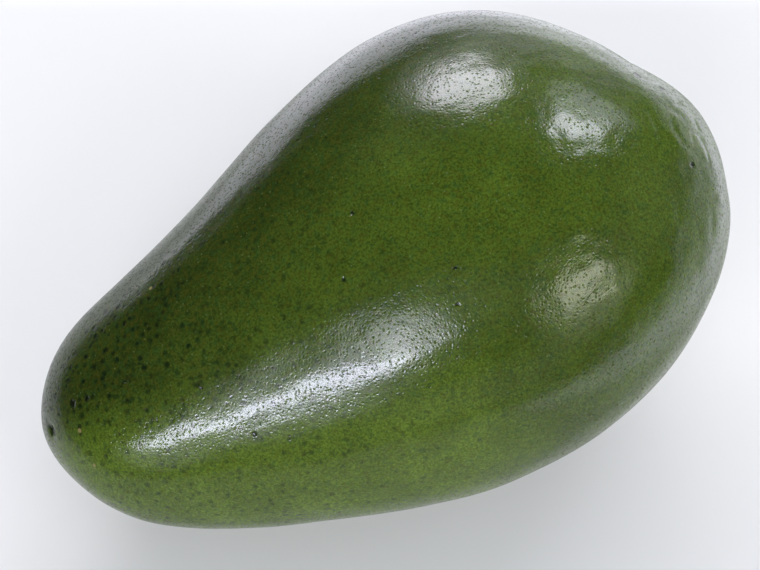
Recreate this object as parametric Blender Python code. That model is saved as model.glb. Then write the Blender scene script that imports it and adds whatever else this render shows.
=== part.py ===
"""An avocado at rest on its side, one solid.  +X runs from the stem end to the blossom end, +Z is up."""
import math

import bmesh
import bpy
import numpy as np
from mathutils import Matrix

# Driving sizes, in metres
FRUIT_LENGTH = 0.1165
# The rows below are given at even steps from the stem end to the blossom end
HALF_WIDTH = (0.0243, 0.0290, 0.0287, 0.0301, 0.0360, 0.0407, 0.0413, 0.0394, 0.0409)
SIDE_BEND = (-0.0028, -0.0034, -0.0029, 0.0018, 0.0043, 0.0019, 0.0009)
RISE = (0.0019, 0.0005, -0.0010, -0.0019, -0.0010, 0.0005, 0.0019)
FLATTENING = (0.0, 0.0, 0.04, 0.09, 0.10, 0.06, 0.0)
# Low ribs along the length
RIB_COUNT = 5
RIB_HEIGHT = 0.00024
RIB_PHASE = math.radians(20)
# The raised cap at the blossom end, and the shallow dent round it
CAP_CENTRE = (0.0564, 0.0086, 0.0017)
CAP_RADIUS = 0.0090
CAP_HEIGHT = 0.00106
CAP_DENT = 0.00028
# The small pit at the stem end, where the stalk came away
PIT_CENTRE = (-0.0547, -0.0058, 0.0105)
PIT_RADIUS = 0.0011
PIT_DEPTH = 0.0007
# How far the stem end dips when the fruit lies at rest, and how much the skin flattens there
REST_TILT = math.radians(12.94)
FLAT_DEPTH = 0.0006
# Facets round the fruit and along it, and how much closer together they are at the ends
AROUND = 72
ALONG = 52
END_CLOSENESS = 0.5


def clear_scene():
    for thing in list(bpy.data.objects):
        bpy.data.objects.remove(thing, do_unlink=True)


def along_fruit(stations, t):
    """Smooth curve through evenly spaced stations, level at both ends, for t from 0 to 1."""
    values = np.array(stations)
    last = len(values) - 1
    system = np.eye(last + 1)
    slope_sum = np.zeros(last + 1)
    for k in range(1, last):
        system[k, k - 1:k + 2] = (1, 4, 1)
        slope_sum[k] = 3 * (values[k + 1] - values[k - 1])
    slopes = np.linalg.solve(system, slope_sum)
    k = np.minimum((t * last).astype(int), last - 1)
    u = t * last - k
    start = (1 + 2 * u) * (1 - u) ** 2 * values[k] + u * (1 - u) ** 2 * slopes[k]
    end = u * u * (3 - 2 * u) * values[k + 1] - u * u * (1 - u) * slopes[k + 1]
    return start + end


def skin_points(theta, phi):
    """Points of the skin: theta runs from 0 at the stem to pi at the blossom, phi turns round the fruit."""
    t = theta / math.pi
    radius = along_fruit(HALF_WIDTH, t) * np.sin(theta)
    radius = radius * (1 - along_fruit(FLATTENING, t) * np.sin(phi) ** 2)
    radius = radius + RIB_HEIGHT * np.sin(theta) ** 2 * np.cos(RIB_COUNT * (phi - RIB_PHASE))
    x = -FRUIT_LENGTH / 2 * np.cos(theta)
    y = along_fruit(SIDE_BEND, t) + radius * np.cos(phi)
    z = along_fruit(RISE, t) + radius * np.sin(phi)
    return np.stack([x, y, z], axis=1)


def shape_ends(points):
    """Raises the blossom cap inside its dent, and presses the pit into the stem end."""
    from_cap = np.linalg.norm(points - CAP_CENTRE, axis=1) / CAP_RADIUS
    from_pit = np.linalg.norm(points - PIT_CENTRE, axis=1) / PIT_RADIUS
    swell = CAP_HEIGHT * np.exp(-from_cap ** 2)
    swell = swell - CAP_DENT * np.exp(-((from_cap - 1.6) / 0.55) ** 2)
    swell = swell - PIT_DEPTH * np.exp(-from_pit ** 2)
    outward = points / np.linalg.norm(points, axis=1, keepdims=True)
    return points + outward * swell[:, None]


def lay_down(points):
    """Tips the fruit onto its belly, flattens the rest spot and puts the origin under the middle."""
    turn = np.array(Matrix.Rotation(-REST_TILT, 3, "Y"))
    points = points @ turn.T
    points[:, 2] -= points[:, 2].min() + FLAT_DEPTH
    points[:, 2] = np.maximum(points[:, 2], 0.0)
    low = points.min(axis=0)
    high = points.max(axis=0)
    points[:, :2] -= (low[:2] + high[:2]) / 2
    return points


def skin_material():
    material = bpy.data.materials.new("skin")
    material.use_nodes = True
    shader = material.node_tree.nodes["Principled BSDF"]
    shader.inputs["Base Color"].default_value = (0.055, 0.088, 0.009, 1.0)
    shader.inputs["Roughness"].default_value = 0.3
    shader.inputs["Metallic"].default_value = 0.0
    return material


def make_avocado(collection):
    mesh = bpy.data.meshes.new("avocado")
    shape = bmesh.new()
    bmesh.ops.create_uvsphere(shape, u_segments=AROUND, v_segments=ALONG, radius=1.0)
    unit = np.array([vert.co for vert in shape.verts])
    theta = np.arccos(np.clip(-unit[:, 2], -1.0, 1.0))
    theta = theta - END_CLOSENESS * np.sin(2 * theta) / 2
    phi = np.arctan2(unit[:, 1], unit[:, 0])
    points = lay_down(shape_ends(skin_points(theta, phi)))
    for vert, point in zip(shape.verts, points):
        vert.co = point
    bmesh.ops.recalc_face_normals(shape, faces=shape.faces)
    for face in shape.faces:
        face.smooth = True
    shape.to_mesh(mesh)
    shape.free()
    mesh.materials.append(skin_material())
    avocado = bpy.data.objects.new("avocado", mesh)
    collection.objects.link(avocado)
    return avocado


clear_scene()
fruit = bpy.data.collections.new("Avocado")
bpy.context.scene.collection.children.link(fruit)
make_avocado(fruit)
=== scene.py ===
"""Looks of a glossy green avocado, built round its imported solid.

The skin repeats the solid's own form at a finer step and adds the small relief: low lumps, lengthwise
streaks, and the creases of the blossom end. Colour, pores and the pebbled gloss come from the material.
"""
import math

import bmesh
import bpy
import numpy as np
from mathutils import Matrix, Vector, noise


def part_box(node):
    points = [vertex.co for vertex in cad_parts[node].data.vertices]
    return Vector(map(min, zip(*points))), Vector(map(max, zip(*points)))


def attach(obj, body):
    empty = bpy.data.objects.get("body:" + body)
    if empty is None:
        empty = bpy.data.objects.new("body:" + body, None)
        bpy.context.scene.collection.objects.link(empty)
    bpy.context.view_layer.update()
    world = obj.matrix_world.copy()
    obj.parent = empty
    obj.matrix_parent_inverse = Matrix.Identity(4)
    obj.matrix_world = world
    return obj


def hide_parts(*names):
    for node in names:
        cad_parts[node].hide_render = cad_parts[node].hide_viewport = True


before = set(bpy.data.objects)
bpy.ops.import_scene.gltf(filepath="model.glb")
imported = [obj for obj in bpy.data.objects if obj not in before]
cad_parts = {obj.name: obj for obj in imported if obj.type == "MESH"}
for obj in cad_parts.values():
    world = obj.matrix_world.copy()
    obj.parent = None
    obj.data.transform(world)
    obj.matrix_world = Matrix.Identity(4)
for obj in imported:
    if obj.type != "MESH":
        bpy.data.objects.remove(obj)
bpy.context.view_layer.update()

# The fruit's form, in metres, as the solid has it; rows run in even steps from stem to blossom.
# HALF_WIDTH and SIDE_BEND were solved from the outline in the photograph and rounded to 0.1 mm
FRUIT_LENGTH = 0.1165
HALF_WIDTH = (0.0243, 0.0290, 0.0287, 0.0301, 0.0360, 0.0407, 0.0413, 0.0394, 0.0409)
SIDE_BEND = (-0.0028, -0.0034, -0.0029, 0.0018, 0.0043, 0.0019, 0.0009)
RISE = (0.0019, 0.0005, -0.0010, -0.0019, -0.0010, 0.0005, 0.0019)
FLATTENING = (0.0, 0.0, 0.04, 0.09, 0.10, 0.06, 0.0)
RIB_COUNT = 5
RIB_HEIGHT = 0.00024
RIB_PHASE = math.radians(20)
CAP_CENTRE = (0.0564, 0.0086, 0.0017)
CAP_RADIUS = 0.0090
CAP_HEIGHT = 0.00106
CAP_DENT = 0.00028
PIT_CENTRE = (-0.0547, -0.0058, 0.0105)
PIT_RADIUS = 0.0011
PIT_DEPTH = 0.0007
REST_TILT = math.radians(12.94)
FLAT_DEPTH = 0.0006
# Faces round the fruit and along it, and how much closer together they are at the ends
AROUND = 360
ALONG = 260
END_CLOSENESS = 0.35
# Heights of the small relief in the mesh
LUMP_HEIGHT = 0.00022
STREAK_HEIGHT = 0.00008
CREASE_HEIGHT = 0.00010
# Small marks on the skin, each by its centre on the fruit's own axes and its radius; the centres
# are the skin points seen at places in the photograph
DARK_SPOTS = (
    ((-0.0548, -0.0057, 0.0104), 0.00090),
    ((-0.0484, -0.0057, 0.0165), 0.00080),
    ((-0.0457, -0.0064, 0.0178), 0.00065),
    ((-0.0276, -0.0134, 0.0212), 0.00035),
    ((-0.0228, -0.0215, 0.0171), 0.00045),
    ((-0.0019, -0.0094, 0.0289), 0.00040),
    ((0.0026, -0.0013, 0.0314), 0.00035),
    ((0.0118, -0.0182, 0.0263), 0.00040),
    ((0.0133, -0.0140, 0.0287), 0.00035),
    ((0.0206, 0.0279, 0.0250), 0.00050),
    ((0.0498, 0.0107, 0.0176), 0.00080),
    ((0.0527, 0.0083, 0.0151), 0.00060),
    ((0.0514, -0.0063, 0.0163), 0.00060),
)
TAN_SPECKS = (
    ((-0.0488, -0.0097, 0.0151), 0.00040),
    ((-0.0488, -0.0145, 0.0119), 0.00035),
    ((-0.0309, 0.0054, 0.0211), 0.00035),
)

# Colours of the skin, some holding painted shade and painted light as well
BODY_COLOUR = (0.055, 0.088, 0.0095, 1.0)
# painted shade: the back colour is the skin's darker green, deepened by shade painted on the side away from
# the lights
DARK_BACK_AND_SHADE_COLOUR = (0.0245, 0.037, 0.0050, 1.0)
# painted light: the pale colour is the skin's yellower green, brightened by painted bounce light from the
# white table
PALE_SIDE_AND_BOUNCE_COLOUR = (0.093, 0.147, 0.0145, 1.0)
BROWN_TINT = (0.060, 0.058, 0.0080, 1.0)
TEAL_TINT = (0.018, 0.060, 0.0150, 1.0)
# painted glints: pale dots that stand for sparkles of the gloss on small bumps
PAINTED_GLINT_COLOUR = (0.130, 0.180, 0.0700, 1.0)
TAN_COLOUR = (0.250, 0.200, 0.0800, 1.0)
# How strongly each dark mark covers the green, and in which colour
MARK_COLOURS = {
    "pore": (0.28, (0.010, 0.022, 0.0050, 1.0)),
    "faint": (0.55, (0.005, 0.012, 0.0050, 1.0)),
    "big": (0.85, (0.003, 0.008, 0.0040, 1.0)),
    "scar": (0.92, (0.005, 0.007, 0.0040, 1.0)),
}
# How deep each mark is sunk into the skin, in metres
MARK_DEPTHS = {"prick": 0.000011, "pore": 0.000015, "big": 0.000022, "scar": 0.000120}
# Steps at which the marks are scattered, in metres
PRICK_STEP = 0.00056
PORE_STEP = 0.00095
BIG_PORE_STEP = 0.00118
FAINT_PORE_STEP = 0.00160
# step of the painted glints
PAINTED_GLINT_STEP = 0.00120
# Sizes of the mottling and of the relief in the material, in metres, and the heights of the relief
MOTTLE_SIZE = 0.0075
SPECK_SIZE = 0.0008
GRAIN_SIZE = 1.0 / 2800.0
PEBBLE_SIZE = 0.00030
PEBBLE_HEIGHT = 0.000014
SWELL_SIZE = 0.0020
SWELL_HEIGHT = 0.000040
DENT_SIZE = 0.0042
DENT_HEIGHT = 0.00022
# How far the rims of pores and spots are torn out of round, and at what size
TEAR_SHIFT = 0.0006
TEAR_SIZE = 1.0 / 1800.0
# The wax on the skin, and how much of it the pits and the larger pores lack
WAX_WEIGHT = 0.78
WAX_PLAIN_WEIGHT = 0.7
WAX_IOR = 1.42
WAX_ROUGHNESS = 0.16
DULL_IN_PRICKS = 0.88
DULL_IN_BIG_PORES = 0.30

# The view of the photograph
VIEW_AZIMUTH = -17.564
VIEW_ELEVATION = 62.0
VIEW_DISTANCE = 0.24077
VIEW_TARGET = (0.0, 0.0, 0.0334)
VIEW_SHIFT = (0.00109, -0.00103)
LENS_MM = 70.0

# The floor, in metres; each pair of places is where the table or its glow comes in or fades
FLOOR_REACH = 3.0
TABLE_COLOUR = (0.805, 0.79, 0.81, 1.0)
GREY_COLOUR = (0.12, 0.12, 0.12, 1.0)
GLOW_COLOUR = (0.84, 0.82, 1.0, 1.0)
TABLE_LEFT_END = (-0.17, -0.14)
TABLE_NEAR_END = (-0.40, -0.20)
GLOW_RIGHT_START = (0.080, 0.132)
GLOW_RIGHT_FADE = (0.140, 0.220)
GLOW_BACK_START = (0.080, 0.115)
GLOW_RIGHT_STRENGTH = 1.75
GLOW_BACK_STRENGTH = 1.5
GLOW_FAR_SHARE = 0.25

# The lights all stand at one distance from one point near the fruit's middle
LIGHT_AIM = (0.0, 0.0, 0.04)
LIGHT_DISTANCE = 0.9
ROOM_COLOUR = (0.85, 0.93, 1.0, 1.0)
ROOM_STRENGTH = 0.42
WHITE = (1.0, 1.0, 1.0)
COOL = (0.96, 0.98, 1.0)
BLUE = (0.85, 0.84, 1.0)
SKY = (0.80, 0.80, 1.0)
PEARL = (0.89, 0.85, 1.0)
WARM = (1.0, 0.97, 0.86)
# Lights that only light: name, azimuth, elevation, width, height, radiance, colour
DAY_LIGHTS = (
    ("day_back", 180, 40, 0.7, 0.5, 3.8, WHITE),
    ("day_back_right", 130, 45, 0.5, 0.5, 3.2, COOL),
    ("day_right", 90, 40, 0.5, 0.4, 0.6, COOL),
    ("day_front_left", -41, 35, 0.45, 0.4, 5.5, WHITE),
    ("day_front_right", 38, 36, 0.45, 0.4, 3.8, WHITE),
)
# Lights seen only in the gloss: the same, then the share that is full, and any roll in degrees
HIGHLIGHTS = (
    ("strip_front_left", -43.5, 23.5, 0.68, 0.11, 45.0, SKY, 0.85, 35),
    ("window_front_left", -27, 35, 0.30, 0.26, 19.0, BLUE, 0.4),
    ("lobe_front_left", -39, 41, 0.42, 0.31, 11.5, BLUE, 0.5),
    ("glow_front_left", -42, 25, 0.80, 0.65, 4.0, BLUE, 0.1),
    ("wall_front_left", -52, 4, 0.50, 0.35, 2.2, BLUE, 0.3),
    ("window_back", 170, 34, 0.46, 0.46, 17.0, PEARL, 0.65),
    ("glow_back", 171, 30, 0.75, 0.90, 3.2, PEARL, 0.2),
    ("wall_back", 147, 9, 1.00, 0.42, 1.6, PEARL, 0.3),
    ("window_right", 117, 46, 0.36, 0.30, 22.0, BLUE, 0.4),
    ("glow_right", 124, 33, 0.62, 0.60, 5.2, BLUE, 0.2),
    ("wall_right", 92, 2, 1.20, 0.35, 1.6, BLUE, 0.4),
    ("window_front_right", 30, 34, 0.44, 0.32, 10.5, WARM, 0.4),
    ("glow_front_right", 32, 22, 0.80, 0.70, 2.2, WARM, 0.2),
    ("glow_front", -10, 46, 1.0, 0.7, 0.4, COOL, 0.1),
    ("glow_side", 75, 26, 1.0, 0.8, 0.3, PEARL, 0.2),
    ("wall_front", -5, 6, 1.3, 0.40, 0.7, PEARL, 0.4),
)


def along_fruit(stations, t):
    """Smooth curve through evenly spaced stations, level at both ends, for t from 0 to 1."""
    values = np.array(stations)
    last = len(values) - 1
    system = np.eye(last + 1)
    slope_sum = np.zeros(last + 1)
    for k in range(1, last):
        system[k, k - 1:k + 2] = (1, 4, 1)
        slope_sum[k] = 3 * (values[k + 1] - values[k - 1])
    slopes = np.linalg.solve(system, slope_sum)
    k = np.minimum((t * last).astype(int), last - 1)
    u = t * last - k
    start = (1 + 2 * u) * (1 - u) ** 2 * values[k] + u * (1 - u) ** 2 * slopes[k]
    end = u * u * (3 - 2 * u) * values[k + 1] - u * u * (1 - u) * slopes[k + 1]
    return start + end


def skin_points(theta, phi):
    """Points of the skin: theta runs from 0 at the stem to pi at the blossom, phi turns round the fruit."""
    t = theta / math.pi
    radius = along_fruit(HALF_WIDTH, t) * np.sin(theta)
    radius = radius * (1 - along_fruit(FLATTENING, t) * np.sin(phi) ** 2)
    radius = radius + RIB_HEIGHT * np.sin(theta) ** 2 * np.cos(RIB_COUNT * (phi - RIB_PHASE))
    x = -FRUIT_LENGTH / 2 * np.cos(theta)
    y = along_fruit(SIDE_BEND, t) + radius * np.cos(phi)
    z = along_fruit(RISE, t) + radius * np.sin(phi)
    return np.stack([x, y, z], axis=1)


def end_swell(points):
    """Height of the blossom cap inside its dent, less the stem pit."""
    from_cap = np.linalg.norm(points - CAP_CENTRE, axis=1) / CAP_RADIUS
    from_pit = np.linalg.norm(points - PIT_CENTRE, axis=1) / PIT_RADIUS
    swell = CAP_HEIGHT * np.exp(-from_cap ** 2)
    swell = swell - CAP_DENT * np.exp(-((from_cap - 1.6) / 0.55) ** 2)
    return swell - PIT_DEPTH * np.exp(-from_pit ** 2)


def noise_at(points, size, seed):
    """Smooth noise from -1 to 1 with features of the given size in metres."""
    shift = Vector((seed * 7.3, seed * 3.1, seed * 5.7))
    return np.array([noise.noise(Vector(p) / size + shift) for p in points])


def small_relief(points, theta, phi):
    """Low lumps, lengthwise streaks, and creases that ring the blossom end."""
    relief = LUMP_HEIGHT * (noise_at(points, 0.016, 1) + 0.45 * noise_at(points, 0.007, 2))
    # Noise drawn out along the fruit gives streaks, and drawn out round it gives creases
    round_fruit = np.stack([theta * 0.010, np.cos(phi) * 0.030, np.sin(phi) * 0.030], axis=1)
    relief += STREAK_HEIGHT * noise_at(round_fruit, 0.0035, 3) * np.sin(theta) ** 2
    from_blossom = np.pi - theta
    near_blossom = np.exp(-((from_blossom - 0.42) / 0.22) ** 2)
    swirl = np.stack([from_blossom * 0.045, np.cos(phi) * 0.012, np.sin(phi) * 0.012], axis=1)
    creases = np.abs(noise_at(swirl, 0.0060, 4))
    relief -= CREASE_HEIGHT * near_blossom * np.exp(-(creases / 0.12) ** 2)
    return relief


def lay_down(points, box_low, box_high):
    """Tips the fruit onto its belly, flattens the rest spot and centres it in the box.

    Also returns how far it moved.
    """
    turn = np.array(Matrix.Rotation(-REST_TILT, 3, "Y"))
    points = points @ turn.T
    lift = -points[:, 2].min() - FLAT_DEPTH
    points[:, 2] = np.maximum(points[:, 2] + lift, 0.0)
    middle = (points.min(axis=0) + points.max(axis=0)) / 2
    wanted = (np.array(box_low) + np.array(box_high)) / 2
    shift = np.array([wanted[0] - middle[0], wanted[1] - middle[1], lift])
    points[:, :2] += shift[:2]
    return points, Vector(shift)


def make_skin():
    """The skin's mesh, and how far it moved from the fruit's own axes after it was tipped."""
    shape = bmesh.new()
    bmesh.ops.create_uvsphere(shape, u_segments=AROUND, v_segments=ALONG, radius=1.0)
    unit = np.array([vert.co for vert in shape.verts])
    theta = np.arccos(np.clip(-unit[:, 2], -1.0, 1.0))
    theta = theta - END_CLOSENESS * np.sin(2 * theta) / 2
    phi = np.arctan2(unit[:, 1], unit[:, 0])
    points = skin_points(theta, phi)
    outward = points / np.linalg.norm(points, axis=1, keepdims=True)
    height = end_swell(points) + small_relief(points, theta, phi)
    low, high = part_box("avocado")
    points, shift = lay_down(points + outward * height[:, None], low, high)
    for vert, point in zip(shape.verts, points):
        vert.co = point
    bmesh.ops.recalc_face_normals(shape, faces=shape.faces)
    for face in shape.faces:
        face.smooth = True
    mesh = bpy.data.meshes.new("fruit_skin")
    shape.to_mesh(mesh)
    shape.free()
    skin = bpy.data.objects.new("fruit_skin", mesh)
    bpy.context.scene.collection.objects.link(skin)
    return skin, shift


class Graph:
    """Short calls for building the nodes of a material or a light."""

    def __init__(self, owner):
        owner.use_nodes = True
        self.tree = owner.node_tree

    def put(self, socket, value):
        if isinstance(value, bpy.types.NodeSocket):
            self.tree.links.new(value, socket)
        else:
            socket.default_value = value

    def node(self, kind, inputs=None, **settings):
        node = self.tree.nodes.new(kind)
        for name, value in settings.items():
            setattr(node, name, value)
        for name, value in (inputs or {}).items():
            self.put(node.inputs[name], value)
        return node

    def math(self, operation, a, b):
        return self.node("ShaderNodeMath", {0: a, 1: b}, operation=operation).outputs[0]

    def vector(self, operation, a, b):
        return self.node("ShaderNodeVectorMath", {0: a, 1: b}, operation=operation).outputs[0]

    def scaled(self, vector, amount):
        return self.node("ShaderNodeVectorMath", {0: vector, "Scale": amount}, operation="SCALE").outputs[0]

    def distance(self, a, b):
        return self.node("ShaderNodeVectorMath", {0: a, 1: b}, operation="DISTANCE").outputs["Value"]

    def ramp(self, value, low, high, to_low=0.0, to_high=1.0):
        """Smooth step from to_low to to_high as value goes from low to high."""
        inputs = {"Value": value, "From Min": low, "From Max": high, "To Min": to_low, "To Max": to_high}
        return self.node("ShaderNodeMapRange", inputs, interpolation_type="SMOOTHSTEP").outputs[0]

    def mix(self, amount, a, b):
        node = self.node("ShaderNodeMix", data_type="RGBA", blend_type="MIX")
        self.put(node.inputs[0], amount)
        self.put(node.inputs[6], a)
        self.put(node.inputs[7], b)
        return node.outputs[2]

    def noise(self, where, size, detail, roughness=0.5):
        inputs = {"Vector": where, "Scale": 1.0 / size, "Detail": detail, "Roughness": roughness}
        return self.node("ShaderNodeTexNoise", inputs).outputs[0]

    def cells(self, where, size):
        """Distance to the nearest of scattered points, in units of size, and a random value for each."""
        node = self.node("ShaderNodeTexVoronoi", {"Vector": where, "Scale": 1.0 / size, "Randomness": 1.0})
        split = self.node("ShaderNodeSeparateColor", {"Color": node.outputs["Color"]})
        return node.outputs["Distance"], split.outputs[0]

    def dots(self, where, step, inner, outer, strength=1.0):
        """Scattered round dots, at full strength up to inner and gone at outer, in shares of the step."""
        return self.ramp(self.cells(where, step)[0], inner, outer, strength, 0.0)


def skin_zones(g, along, across):
    """Masks of the fruit's back, darker green with painted shade, its pale side low at the front, yellower
    green with painted bounce light from the table, and its upper neck.
    """
    slant = g.math("SUBTRACT", across, g.math("MULTIPLY", along, 0.55))
    # painted shade: the back and top of the neck are darkened, partly the skin's own darker green, partly
    # painted shade
    back = g.ramp(slant, -0.010, 0.020)
    drop = g.math("ADD", across, g.math("MULTIPLY", g.math("MINIMUM", along, -0.007), 0.37))
    # painted light: the low front side is paler, partly the skin's own yellower green, partly painted
    # bounce light from the table
    pale_and_bounce = g.math("MULTIPLY", g.ramp(drop, -0.021, -0.033), g.ramp(along, 0.023, 0.001))
    neck = g.math("MULTIPLY", g.ramp(along, 0.002, -0.048), g.ramp(drop, -0.036, -0.022))
    return back, pale_and_bounce, neck


def skin_marks(g, place, own, along, neck):
    """Pinpricks close together, pores, faint ones, big dark ones thick on the neck, and scars."""
    inputs = {"Vector": place, "Scale": 1.0 / TEAR_SIZE, "Detail": 1.0}
    ragged = g.node("ShaderNodeTexNoise", inputs).outputs["Color"]
    shift = g.scaled(g.vector("SUBTRACT", ragged, (0.5, 0.5, 0.5)), TEAR_SHIFT)
    torn = g.vector("ADD", place, shift)
    torn_own = g.vector("ADD", own, shift)

    big_gap, big_random = g.cells(torn, BIG_PORE_STEP)
    big_size = g.ramp(big_random, 0.0, 1.0, 0.16, 0.52)
    big_size = g.math("MULTIPLY", big_size, g.ramp(neck, 0.0, 0.9, 0.45, 1.0))
    big = g.ramp(g.math("DIVIDE", big_gap, big_size), 0.30, 1.25, 1.0, 0.0)
    big = g.math("MULTIPLY", big, g.ramp(big_random, 0.0, 1.0, 0.35, 1.0))
    big = g.math("MULTIPLY", big, g.ramp(neck, 0.0, 0.9, 0.20, 1.0))

    faint = g.dots(torn, FAINT_PORE_STEP, 0.08, 0.42)
    faint = g.math("MULTIPLY", faint, g.ramp(along, 0.020, -0.020, 0.25, 1.0))

    scar = 0.0
    for centre, radius in DARK_SPOTS:
        spot = g.ramp(g.distance(torn_own, centre), radius * 0.4, radius * 1.25, 1.0, 0.0)
        scar = g.math("MAXIMUM", spot, scar)

    prick = g.dots(place, PRICK_STEP, 0.10, 0.42)
    pore = g.dots(place, PORE_STEP, 0.06, 0.30)
    return {"prick": prick, "pore": pore, "faint": faint, "big": big, "scar": scar}


def skin_colour(g, place, own, back, pale_and_bounce, marks):
    """Olive green, mottled at three sizes, with painted shade and painted bounce light, pale dots of
    painted glints, dark marks and tan specks.
    """
    # painted shade darkens the back and painted bounce light lifts the low front, each over the skin's own
    # tone
    colour = g.mix(pale_and_bounce, g.mix(back, BODY_COLOUR, DARK_BACK_AND_SHADE_COLOUR), PALE_SIDE_AND_BOUNCE_COLOUR)
    mottle = g.noise(place, MOTTLE_SIZE, 3.0)
    speck = g.noise(place, SPECK_SIZE, 2.0)
    grain = g.noise(place, GRAIN_SIZE, 2.0, 0.7)
    mottle_lift = g.ramp(mottle, 0.30, 0.70, 0.86, 1.14)
    grain_lift = g.ramp(grain, 0.30, 0.70, 0.63, 1.37)
    colour = g.scaled(colour, g.math("MULTIPLY", mottle_lift, grain_lift))
    colour = g.mix(g.ramp(speck, 0.48, 0.70, 0.0, 0.34), colour, BROWN_TINT)
    colour = g.mix(g.ramp(speck, 0.52, 0.32, 0.0, 0.36), colour, TEAL_TINT)
    # painted glints: pale dots in the colour stand for small sparkles of the gloss
    colour = g.mix(g.dots(place, PAINTED_GLINT_STEP, 0.06, 0.13, 0.55), colour, PAINTED_GLINT_COLOUR)
    for name, (strength, mark_colour) in MARK_COLOURS.items():
        colour = g.mix(g.math("MULTIPLY", marks[name], strength), colour, mark_colour)
    for centre, radius in TAN_SPECKS:
        tan = g.ramp(g.distance(own, centre), radius * 0.6, radius * 1.2, 0.85, 0.0)
        colour = g.mix(tan, colour, TAN_COLOUR)
    return colour


def skin_bump(g, place, along, marks):
    """A fine pebble on a low swell, dents towards the blossom end, and the marks sunk into them."""
    height = g.math("MULTIPLY", g.noise(place, PEBBLE_SIZE, 1.0), PEBBLE_HEIGHT)
    height = g.math("ADD", height, g.math("MULTIPLY", g.noise(place, SWELL_SIZE, 1.0), SWELL_HEIGHT))
    dents = g.math("MULTIPLY", g.noise(place, DENT_SIZE, 1.0), g.ramp(along, 0.010, 0.040))
    height = g.math("ADD", height, g.math("MULTIPLY", dents, DENT_HEIGHT))
    for name, depth in MARK_DEPTHS.items():
        height = g.math("SUBTRACT", height, g.math("MULTIPLY", marks[name], depth))
    return g.node("ShaderNodeBump", {"Height": height, "Distance": 1.0, "Strength": 1.0}).outputs[0]


def skin_material(rest_shift):
    material = bpy.data.materials.new("avocado_skin")
    g = Graph(material)
    shader = g.tree.nodes["Principled BSDF"]
    place = g.node("ShaderNodeTexCoord").outputs["Object"]
    # The fruit's own axes, from before it was tipped and shifted onto the table
    back_turn = Matrix.Rotation(REST_TILT, 3, "Y")
    undo = {"Vector": place, "Rotation": (0.0, REST_TILT, 0.0), "Location": -(back_turn @ rest_shift)}
    own = g.node("ShaderNodeMapping", undo).outputs[0]
    along, across = g.node("ShaderNodeSeparateXYZ", {"Vector": own}).outputs[:2]

    back, pale_and_bounce, neck = skin_zones(g, along, across)
    marks = skin_marks(g, place, own, along, neck)
    g.put(shader.inputs["Base Color"], skin_colour(g, place, own, back, pale_and_bounce, marks))
    bump = skin_bump(g, place, along, marks)
    g.put(shader.inputs["Normal"], bump)
    g.put(shader.inputs["Coat Normal"], bump)

    shader.inputs["Roughness"].default_value = 0.5
    shader.inputs["Specular IOR Level"].default_value = 0.0
    shader.inputs["Coat IOR"].default_value = WAX_IOR
    shader.inputs["Coat Roughness"].default_value = WAX_ROUGHNESS
    # The wax is thinner in the pits and big pores; the plain weight is for viewers that drop the pattern
    shader.inputs["Coat Weight"].default_value = WAX_PLAIN_WEIGHT
    dull_pricks = g.math("MULTIPLY", marks["prick"], DULL_IN_PRICKS)
    dull_pores = g.math("MULTIPLY", marks["big"], DULL_IN_BIG_PORES)
    kept = g.math("SUBTRACT", 1.0, g.math("MAXIMUM", dull_pricks, dull_pores))
    g.put(shader.inputs["Coat Weight"], g.math("MULTIPLY", kept, WAX_WEIGHT))
    return material


def toward(azimuth, elevation):
    """Unit vector to a place; azimuth 0 is on the -Y side and 90 on the +X side."""
    a = math.radians(azimuth)
    e = math.radians(elevation)
    return Vector((math.sin(a) * math.cos(e), -math.cos(a) * math.cos(e), math.sin(e)))


def make_camera():
    back = toward(VIEW_AZIMUTH, VIEW_ELEVATION)
    right = Vector((math.cos(math.radians(VIEW_AZIMUTH)), math.sin(math.radians(VIEW_AZIMUTH)), 0.0))
    up = back.cross(right)
    data = bpy.data.cameras.new("camera")
    data.lens = LENS_MM
    data.sensor_width = 36.0
    data.clip_start = 0.01
    camera = bpy.data.objects.new("camera", data)
    bpy.context.scene.collection.objects.link(camera)
    place = Vector(VIEW_TARGET) + back * VIEW_DISTANCE + right * VIEW_SHIFT[0] + up * VIEW_SHIFT[1]
    turn = Matrix((right, up, back)).transposed().to_4x4()
    camera.matrix_world = Matrix.Translation(place) @ turn
    bpy.context.scene.camera = camera


def make_light(name, azimuth, elevation, width, height, radiance, colour, roll=0.0):
    """A rectangular light that faces the fruit and gives no highlight."""
    data = bpy.data.lights.new(name, "AREA")
    data.shape = "RECTANGLE"
    data.size = width
    data.size_y = height
    data.energy = radiance * math.pi * width * height
    data.color = colour
    light = bpy.data.objects.new(name, data)
    bpy.context.scene.collection.objects.link(light)
    way = toward(azimuth, elevation)
    turn = way.to_track_quat("Z", "Y").to_matrix() @ Matrix.Rotation(math.radians(roll), 3, "Z")
    light.matrix_world = Matrix.Translation(Vector(LIGHT_AIM) + way * LIGHT_DISTANCE) @ turn.to_4x4()
    light.visible_camera = False
    light.visible_glossy = False
    return light


def make_highlight(name, azimuth, elevation, width, height, radiance, colour, core, roll=0.0):
    """A light seen only as a highlight: full within its core, then fading out to its rim."""
    light = make_light(name, azimuth, elevation, width, height, radiance, colour, roll)
    light.visible_glossy = True
    light.visible_diffuse = False
    g = Graph(light.data)
    place = g.node("ShaderNodeNewGeometry").outputs["Parametric"]
    off = g.distance(place, (0.5, 0.5, 0.0))
    g.put(g.tree.nodes["Emission"].inputs["Strength"], g.ramp(off, 0.5 * core, 0.5, 1.0, 0.0))


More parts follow.
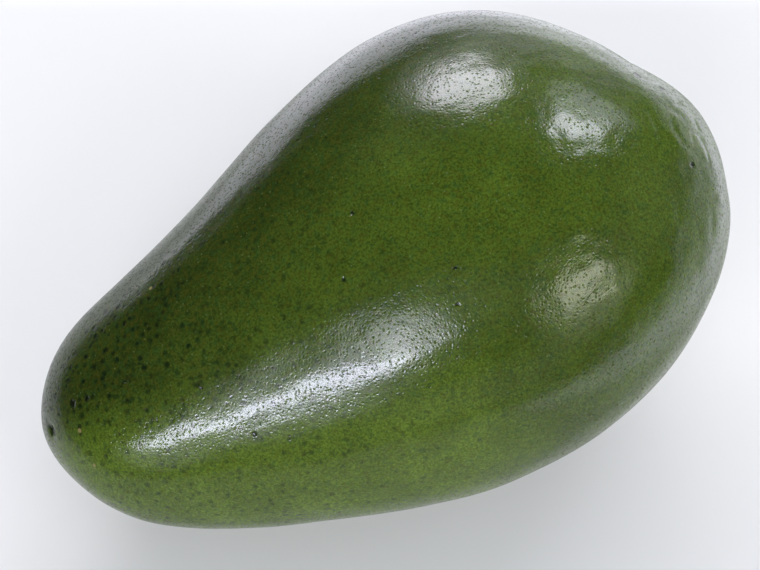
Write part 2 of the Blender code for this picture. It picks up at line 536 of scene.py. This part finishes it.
def floor_material():
    """White on the table and grey past it, with a glow to the right and behind."""
    material = bpy.data.materials.new("white_table")
    g = Graph(material)
    shader = g.tree.nodes["Principled BSDF"]
    place = g.node("ShaderNodeTexCoord").outputs["Object"]
    x, y = g.node("ShaderNodeSeparateXYZ", {"Vector": place}).outputs[:2]
    table = g.math("MULTIPLY", g.ramp(x, *TABLE_LEFT_END), g.ramp(y, *TABLE_NEAR_END))
    g.put(shader.inputs["Base Color"], g.mix(table, GREY_COLOUR, TABLE_COLOUR))
    # The glow starts just outside the picture, so its edges follow the azimuth of the view
    turn = {"Vector": place, "Rotation": (0.0, 0.0, -math.radians(VIEW_AZIMUTH))}
    turned = g.node("ShaderNodeMapping", turn).outputs[0]
    rightward, backward = g.node("ShaderNodeSeparateXYZ", {"Vector": turned}).outputs[:2]
    glow_right = g.ramp(rightward, *GLOW_RIGHT_START, 0.0, GLOW_RIGHT_STRENGTH)
    glow_back = g.ramp(backward, *GLOW_BACK_START, 0.0, GLOW_BACK_STRENGTH)
    glow = g.math("MAXIMUM", glow_right, glow_back)
    glow = g.math("MULTIPLY", glow, g.ramp(rightward, *GLOW_RIGHT_FADE, 1.0, GLOW_FAR_SHARE))
    g.put(shader.inputs["Emission Strength"], g.math("MULTIPLY", glow, table))
    shader.inputs["Emission Color"].default_value = GLOW_COLOUR
    shader.inputs["Roughness"].default_value = 1.0
    shader.inputs["Specular IOR Level"].default_value = 0.0
    return material


def make_floor():
    mesh = bpy.data.meshes.new("floor")
    shape = bmesh.new()
    bmesh.ops.create_grid(shape, x_segments=1, y_segments=1, size=FLOOR_REACH)
    shape.to_mesh(mesh)
    shape.free()
    mesh.materials.append(floor_material())
    floor = bpy.data.objects.new("floor", mesh)
    bpy.context.scene.collection.objects.link(floor)


def make_room():
    """A pale surround that lights the scene but doesn't show in the gloss."""
    world = bpy.data.worlds.new("room")
    bpy.context.scene.world = world
    world.use_nodes = True
    background = world.node_tree.nodes["Background"]
    background.inputs["Color"].default_value = ROOM_COLOUR
    background.inputs["Strength"].default_value = ROOM_STRENGTH
    world.cycles_visibility.glossy = False
    bpy.context.scene.view_settings.view_transform = "Standard"


def make_studio():
    make_floor()
    for light in DAY_LIGHTS:
        make_light(*light)
    for light in HIGHLIGHTS:
        make_highlight(*light)
    make_room()


skin, rest_shift = make_skin()
skin.data.materials.append(skin_material(rest_shift))
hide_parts("avocado")
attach(skin, "root")
make_camera()
make_studio()
